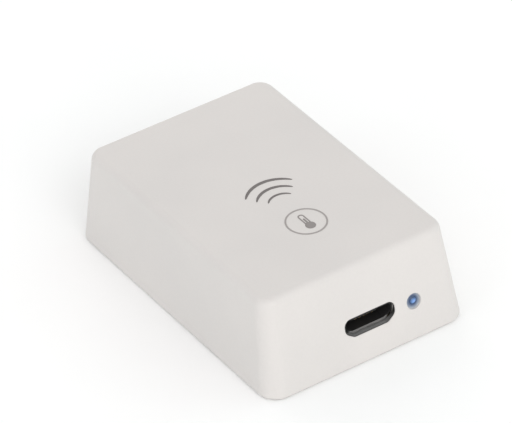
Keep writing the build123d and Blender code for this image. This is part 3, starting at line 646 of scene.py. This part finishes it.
vias = Piece("board_vias", track_mat, "base")
for x, y in [(0.25, -13.4), (1.3, -13.5), (-2.7, -14.0), (-6.0, -13.8), (-4.9, -10.7), (0.6, -6.9), (6.9, -10.2), (6.4, -6.2),
             (-10.2, -9.6), (11.5, -10.4), (12.0, -1.6), (-12.0, -1.6), (12.0, 12.0), (-12.0, 3.6), (9.3, 13.4), (9.3, 16.4),
             (-9.3, 16.4), (-8.9, 13.4), (9.1, -1.0), (-9.1, -1.0), (8.95, 1.0), (-9.4, 3.3), (9.0, 3.9), (-5.4, -6.4), (-3.0, -6.2),
             (-0.6, -6.4), (5.9, -16.2), (-4.2, -17.2), (12.0, 3.6), (-12.0, -8.6), (12.0, -7.2), (-2.0, -17.4), (6.0, -12.0)]:
    vias.ring(x, y, 0.16, 0.33, TOP - 0.01, TOP + 0.036)
vias.done(smooth=False)

# solder at the ends of the chip parts: (x, y, length, width, height, along x)
CHIPS = [(-3.1, -12.5, 3.2, 1.6, 0.45, 1), (7.9, -14.6, 2.6, 1.4, 0.60, 1),
         (-7.7, -12.2, 2.0, 1.25, 0.55, 0), (-8.6, -7.6, 2.0, 1.25, 0.55, 0), (8.3, -8.4, 2.0, 1.25, 0.55, 0),
         (10.1, -8.4, 2.0, 1.25, 0.55, 0), (-10.6, -4.0, 2.0, 1.25, 0.55, 0), (10.6, -3.8, 2.0, 1.25, 0.55, 0),
         (-4.6, -8.5, 3.5, 2.8, 0.60, 1),
         (10.6, -17.6, 1.6, 0.8, 0.32, 0), (-5.0, -14.6, 1.6, 0.8, 0.32, 1), (10.6, 5.6, 1.6, 0.8, 0.32, 1),
         (10.6, 7.2, 1.6, 0.8, 0.32, 1), (10.6, 8.8, 1.6, 0.8, 0.32, 1), (-10.8, -6.6, 1.6, 0.8, 0.32, 0), (10.6, 10.4, 1.6, 0.8, 0.32, 1)]
joints_ = Piece("solder_fillets", solder_mat, "base")
for x, y, ln, wd, ht, ax in CHIPS:
    for s in (-1, 1):
        if ax:
            joints_.meniscus(x + s * ln / 2, y, s, 0, wd + 0.04, ht, 0.34)
        else:
            joints_.meniscus(x, y + s * ln / 2, 0, s, wd + 0.04, ht, 0.34)
for i in range(3):       # regulator: three leads and the cooling tab
    joints_.meniscus(3.0 + (i - 1) * 2.3, -12.3, 0, -1, 0.80, 0.22, 0.34)
joints_.meniscus(3.0, -5.6, 0, 1, 3.1, 0.22, 0.22)
for s in (-1, 1):        # temperature sensor
    for i in range(4):
        joints_.meniscus(-9.9 + s * 2.45, -17.45 + (i - 1.5) * 0.65, s, 0, 0.30, 0.12, 0.16)
for s in (-1, 1):        # light
    joints_.meniscus(7.85 + s * 1.5, -17.6, s, 0, 0.9, 0.40, 0.34)
for s in (-1, 1):        # legs of the socket
    for y in (-18.55, -16.75):
        joints_.meniscus(0.90 + s * 3.80, y, s, 0, 1.15, 0.60, 0.45)
for i in range(5):       # contacts of the socket
    joints_.meniscus(0.90 + (i - 2) * 0.65, -14.8, 0, 1, 0.32, 0.10, 0.16)
joints_.done(smooth=True)

# the can is soldered to the module at spots along its rim
spots = Piece("can_solder", solder_mat, "base")
for y in (-1.4, 2.8, 7.0, 10.4):
    for s in (-1, 1):
        spots.meniscus(s * 6.2, y, s, 0, 1.3, 0.32, 0.34, z0=MOD_TOP)
for x in (-3.6, 0.0, 3.6):
    spots.meniscus(x, 12.1, 0, 1, 1.3, 0.32, 0.34, z0=MOD_TOP)
    spots.meniscus(x, -3.3, 0, -1, 1.1, 0.30, 0.18, z0=MOD_TOP)
spots.done(smooth=True)

# antenna matching parts beside the can: ceramic bodies and tinned ends
for name, mat, k in (("matching_parts", cap_mat, 0), ("matching_ends", tin_mat, 1)):
    part = Piece(name, mat, "base")
    for x, y in ((-6.9, 12.5), (-5.3, 12.9), (6.9, 13.2), (5.6, 13.2)):
        if k == 0:
            part.hull_prism([(x - 0.25, y - 0.26), (x + 0.25, y - 0.26), (x + 0.25, y + 0.26), (x - 0.25, y + 0.26)], MOD_TOP + 0.03, MOD_TOP + 0.42, 0.03)
        else:
            for s in (-1, 1):
                part.hull_prism([(x - 0.27, y + s * 0.38 - 0.13), (x + 0.27, y + s * 0.38 - 0.13), (x + 0.27, y + s * 0.38 + 0.13),
                                 (x - 0.27, y + s * 0.38 + 0.13)], MOD_TOP, MOD_TOP + 0.45, 0.03)
    part.done()

# screen print on the board: outlines only
silk = Piece("board_outlines", silk_mat, "base")


def outline_box(x0, y0, x1, y1, w=0.12, gap_x=0.0, gap_y=0.0):
    """Rectangle, or four corner marks when a gap is left in its sides."""
    for y in (y0, y1):
        if gap_x:
            silk.track([(x0, y), ((x0 + x1) / 2 - gap_x, y)], w, TOP - 0.005, TOP + 0.018)
            silk.track([((x0 + x1) / 2 + gap_x, y), (x1, y)], w, TOP - 0.005, TOP + 0.018)
        else:
            silk.track([(x0, y), (x1, y)], w, TOP - 0.005, TOP + 0.018)
    for x in (x0, x1):
        if gap_y:
            silk.track([(x, y0), (x, (y0 + y1) / 2 - gap_y)], w, TOP - 0.005, TOP + 0.020)
            silk.track([(x, (y0 + y1) / 2 + gap_y), (x, y1)], w, TOP - 0.005, TOP + 0.020)
        else:
            silk.track([(x, y0), (x, y1)], w, TOP - 0.005, TOP + 0.020)


for x, y, ln, wd, ht, ax in CHIPS:
    for s in (-1, 1):    # one stroke along each long side
        if ax:
            silk.track([(x - ln / 2 + 0.1, y + s * (wd / 2 + 0.28)), (x + ln / 2 - 0.1, y + s * (wd / 2 + 0.28))], 0.12, TOP - 0.005, TOP + 0.018)
        else:
            silk.track([(x + s * (wd / 2 + 0.22), y - ln / 2 + 0.1), (x + s * (wd / 2 + 0.22), y + ln / 2 - 0.1)], 0.12, TOP - 0.005, TOP + 0.018)
silk.track([(9.75, -15.3), (9.75, -13.95)], 0.22, TOP - 0.005, TOP + 0.018)      # diode, cathode side
silk.track([(-2.2, -7.0), (-1.5, -7.0)], 0.12, TOP - 0.005, TOP + 0.020)         # plus sign of the tantalum capacitor
silk.track([(-1.85, -7.35), (-1.85, -6.65)], 0.12, TOP - 0.005, TOP + 0.018)
outline_box(-8.4, -4.9, 8.4, 19.6, gap_x=6.6, gap_y=10.9)
outline_box(-0.5, -10.95, 6.5, -6.85, gap_x=2.2)
outline_box(5.9, -18.9, 9.8, -16.6, gap_y=0.75)
silk.ring(-12.2, -15.3, 0.0001 + 0.06, 0.20, TOP - 0.005, TOP + 0.018)           # pin 1 of the sensor
silk.ring(-8.9, -4.9, 0.06, 0.22, TOP - 0.005, TOP + 0.018)                      # pin 1 of the module
for i in range(5):
    silk.ring(-10.6, 5.4 + 1.9 * i, 0.74, 0.84, TOP - 0.005, TOP + 0.018, 32)
silk.done()

# fiducial marks: bare copper dots
fid = Piece("fiducials", gold_mat, "base")
for x, y in ((-12.0, -10.4), (12.0, -5.6), (-11.6, 14.6)):
    fid.dome(x, y, 0.42, TOP - 0.005, 0.03)
fid.done(smooth=False)

# spring leaves in the two windows of the socket's top sheet
springs = Piece("socket_springs", leads_mat, "base")
for s in (-1, 1):
    xc = 0.90 + s * 1.9
    rows = []
    for i in range(9):
        u = i / 8
        y = -17.58 - u * 1.28
        z = 6.60 - 0.34 * math.sin(math.pi * min(1.0, u * 1.15)) ** 2 * 0.8 - 0.02 * u
        w = 0.24 - 0.06 * u
        rows.append([springs.bm.verts.new(((xc + dx) * MM, y * MM, (z + dz) * MM)) for dx, dz in ((-w, -0.05), (w, -0.05), (w, 0.05), (-w, 0.05))])
    for a, b in zip(rows[:-1], rows[1:]):
        for k in range(4):
            m = (k + 1) % 4
            springs.bm.faces.new((a[k], a[m], b[m], b[k]))
    springs.bm.faces.new(list(reversed(rows[0])))
    springs.bm.faces.new(rows[-1])
springs.done()

# soft strip under the front edge of the socket, which closes the gap to the wall below it
strip = Piece("socket_strip", black_plastic("strip_foam", 0.15), "base")
prof = [(-2.92, 4.505), (-2.60, 4.345), (2.60, 4.345), (2.92, 4.505), (3.06, 4.40), (2.94, 4.22), (2.70, 4.12), (-2.70, 4.12), (-2.94, 4.22), (-3.06, 4.40)]
ends = [(-21.235, 0.04), (-21.20, 0.0), (-20.40, 0.0), (-20.36, 0.04)]
loops = []
for y, inset in ends:
    zc = 4.30
    loops.append([strip.bm.verts.new(((USB_X + px_ * (1 - inset / 3.0)) * MM, y * MM, (zc + (pz_ - zc) * (1 - inset / 0.25)) * MM)) for px_, pz_ in prof])
for a, b in zip(loops[:-1], loops[1:]):
    for k in range(len(prof)):
        m_ = (k + 1) % len(prof)
        strip.bm.faces.new((a[k], a[m_], b[m_], b[k]))
strip.bm.faces.new(list(reversed(loops[0])))
strip.bm.faces.new(loops[-1])
strip.done()

# marks of the moulding tool: ejector rings inside the cover and under the base, and the gate's stub
marks = Piece("base_tool_marks", base_mat, "base")
for x, y in ((-9.0, -15.0), (9.0, -15.0), (-9.0, 15.0), (9.0, 15.0), (-9.0, 0.0), (9.0, 0.0)):
    marks.ring(x, y, 1.35, 1.50, 0.20, 0.26, 48)
marks.dome(0.0, 0.0, 0.55, 0.26, -0.10, 28, 5)
marks.done(smooth=False)
inner = Piece("cover_tool_marks", shell_mat, "cover")
for x, y in ((-8.0, -14.0), (8.0, -14.0), (-8.0, 12.0), (8.0, 12.0), (0.0, 0.0)):
    inner.ring(x, y, 1.35, 1.50, 12.35, 12.42, 48)
inner.done(smooth=False)

# ---------------------------------------------------------------------------
# Floor and light
# ---------------------------------------------------------------------------

fm = Mat("floor")
fg = fm.noise(30.0, 3.0, 0.5)
fm.set(Base_Color=fm.ramp(fg, [(0.3, (0.955, 0.955, 0.955)), (0.7, (0.975, 0.975, 0.975))]), Roughness=0.9,
       Specular_IOR_Level=0.1, Normal=fm.bump(fm.noise(1.0, 3.0, 0.5), 0.02, 0.3))
mesh = bpy.data.meshes.new("floor")
bm = bmesh.new()
bmesh.ops.create_circle(bm, cap_ends=True, segments=96, radius=3.0)
bmesh.ops.translate(bm, verts=bm.verts, vec=(0.0, 0.0, -0.00001))
bm.to_mesh(mesh)
bm.free()
floor = bpy.data.objects.new("floor", mesh)
mesh.materials.append(fm.m)
scene.collection.objects.link(floor)

# soft white tent: broad lobes of light around the object, as (azimuth, elevation, sharpness, colour)
LOBES = [
    (-80, 14, 24, (1.733, 1.712, 1.729)),
    (-62, 14, 24, (0.428, 0.416, 0.410)),
    (0, 38, 24, (0.710, 0.675, 0.684)),
    (30, 38, 24, (0.104, 0.127, 0.115)),
    (-120, 52, 6, (0.640, 0.588, 0.622)),
    (60, 52, 6, (0.290, 0.246, 0.244)),
    (150, 52, 6, (0.105, 0.085, 0.080)),
    (-101, 20, 4, (0.478, 0.585, 0.568)),
    (-11, 20, 4, (1.498, 1.489, 1.464)),
    (79, 20, 4, (1.218, 1.381, 1.381)),
    (124, 20, 4, (0.042, 0.036, 0.035)),
    (169, 20, 4, (1.650, 1.625, 1.596)),
    (-146, 20, 4, (0.100, 0.100, 0.100)),
    (0, -90, 2, (0.700, 0.700, 0.700)),
]


def towards(az, el):
    a, e = math.radians(az), math.radians(el)
    return Vector((math.sin(a) * math.cos(e), -math.cos(a) * math.cos(e), math.sin(e)))


world = bpy.data.worlds.new("studio")
world.use_nodes = True
wt = world.node_tree
bg = wt.nodes["Background"]
tc = wt.nodes.new("ShaderNodeTexCoord")
total = None
for az, el, sharp, colour in LOBES:
    dot = wt.nodes.new("ShaderNodeVectorMath")
    dot.operation = "DOT_PRODUCT"
    wt.links.new(tc.outputs["Generated"], dot.inputs[0])
    dot.inputs[1].default_value = towards(az, el)
    pos = wt.nodes.new("ShaderNodeMath")
    pos.operation = "MAXIMUM"
    wt.links.new(dot.outputs["Value"], pos.inputs[0])
    pos.inputs[1].default_value = 0.0
    power = wt.nodes.new("ShaderNodeMath")
    power.operation = "POWER"
    wt.links.new(pos.outputs[0], power.inputs[0])
    power.inputs[1].default_value = sharp
    tint = wt.nodes.new("ShaderNodeVectorMath")
    tint.operation = "SCALE"
    tint.inputs[0].default_value = colour
    wt.links.new(power.outputs[0], tint.inputs["Scale"])
    if total is None:
        total = tint
    else:
        plus = wt.nodes.new("ShaderNodeVectorMath")
        plus.operation = "ADD"
        wt.links.new(total.outputs[0], plus.inputs[0])
        wt.links.new(tint.outputs[0], plus.inputs[1])
        total = plus
wt.links.new(total.outputs[0], bg.inputs[0])
bg.inputs[1].default_value = 1.0
scene.world = world


def area(name, az, el, dist, size, power, colour=(1.0, 1.0, 1.0)):
    d = bpy.data.lights.new(name, "AREA")
    d.shape = "DISK"
    d.size = size
    d.energy = power
    d.color = colour
    o = bpy.data.objects.new(name, d)
    b = towards(az, el)
    o.location = b * dist
    o.rotation_mode = "QUATERNION"
    o.rotation_quaternion = (-b).to_track_quat("-Z", "Y")
    scene.collection.objects.link(o)
    return o


area("softbox", -14, 34, 1.5, 1.6, 6.0)
